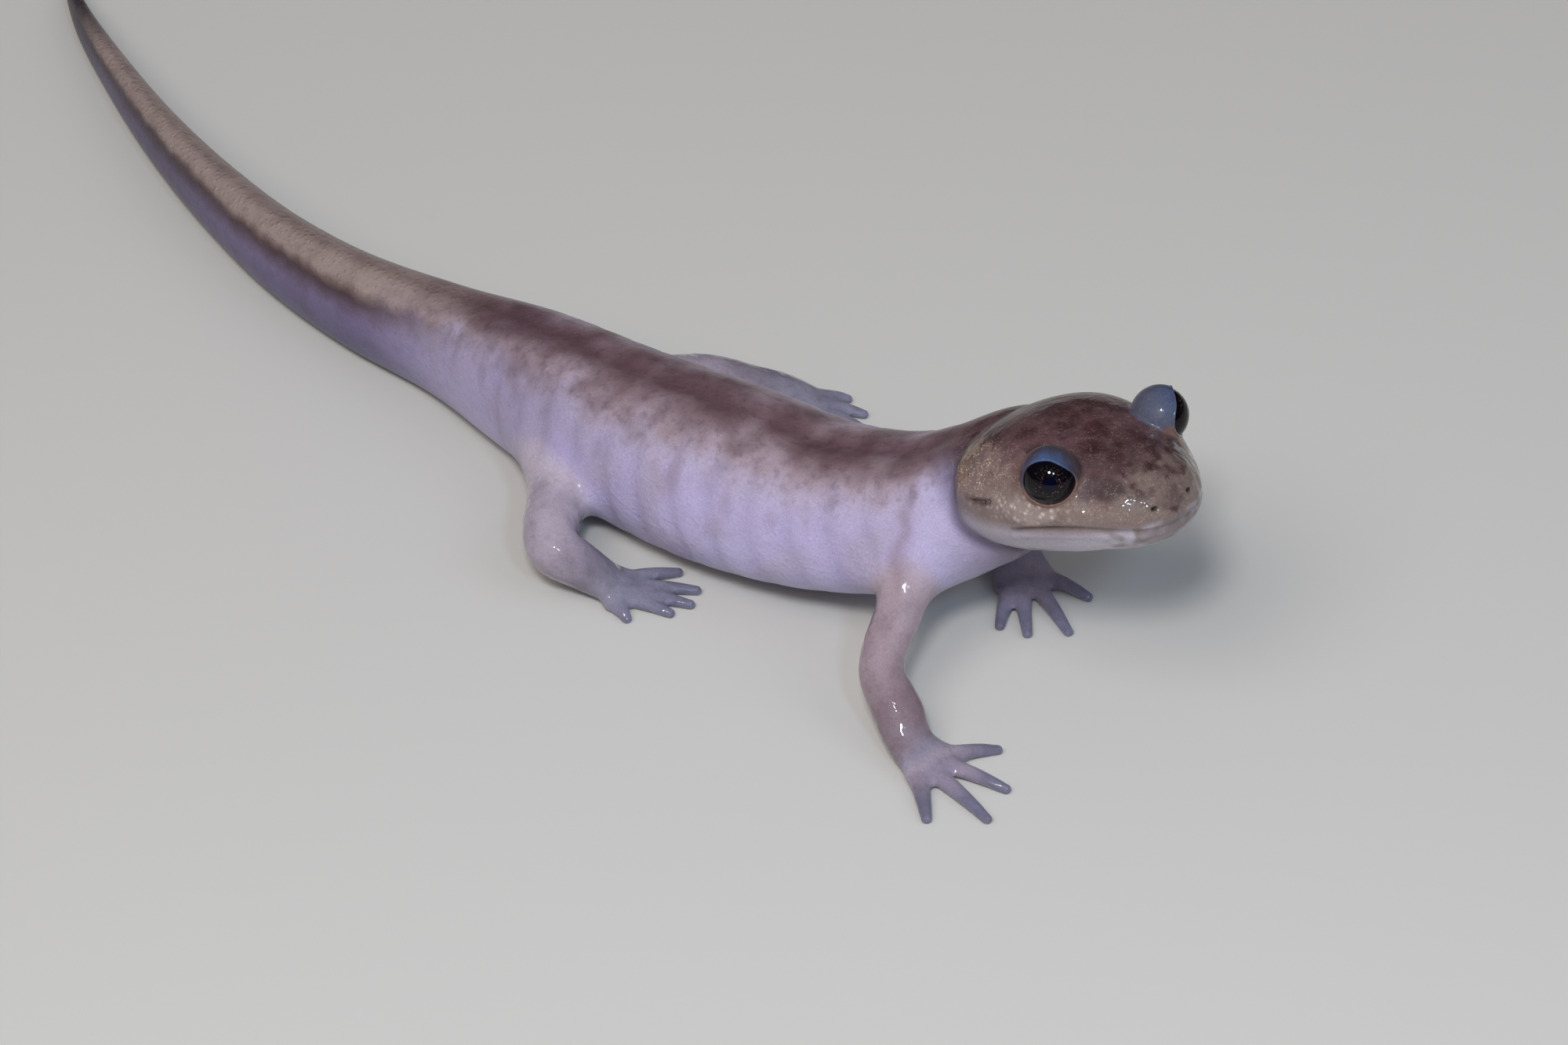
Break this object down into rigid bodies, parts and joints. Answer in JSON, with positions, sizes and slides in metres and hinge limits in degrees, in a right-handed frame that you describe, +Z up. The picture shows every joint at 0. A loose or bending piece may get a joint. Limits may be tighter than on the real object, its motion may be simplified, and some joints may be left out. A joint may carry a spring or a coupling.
{
  "type": "northwestern salamander",
  "caption": "Smooth-skinned land salamander standing with its chest and head raised and its tail curved out behind it, as a still life-size display model",
  "frame": {"origin": "middle of the model's box, on the floor it stands on", "axes": "+X along the animal towards the snout, +Y to the animal's left, +Z up"},
  "size_m": [0.0926, 0.0316, 0.017],
  "materials": {
    "skin_back": "wet, smooth brown skin of the back and the top of the head",
    "skin_flank": "wet, smooth lilac skin of the flanks, belly and throat",
    "skin_tail": "wet skin of the tail, tan and rougher on its ridge",
    "skin_limb": "wet, smooth brown and mauve skin of the limbs",
    "skin_foot": "wet, thin blue-grey skin of the hands and feet",
    "eye_dark": "smooth, glossy, near-black eye"
  },
  "bodies": {
    "root": {"tail_tip": "skin_tail", "tail_middle": "skin_tail", "tail_base": "skin_tail", "pelvis": "skin_flank", "abdomen": "skin_flank", "chest": "skin_flank", "neck": "skin_back", "head": "skin_back", "lower_jaw": "skin_flank", "eye_left": "eye_dark", "eye_right": "eye_dark", "upper_arm_left": "skin_limb", "upper_arm_right": "skin_limb", "forearm_left": "skin_limb", "forearm_right": "skin_limb", "hand_left": "skin_foot", "hand_right": "skin_foot", "thigh_left": "skin_limb", "thigh_right": "skin_limb", "shank_left": "skin_limb", "shank_right": "skin_limb", "foot_left": "skin_foot", "foot_right": "skin_foot"}
  },
  "joints": []
}
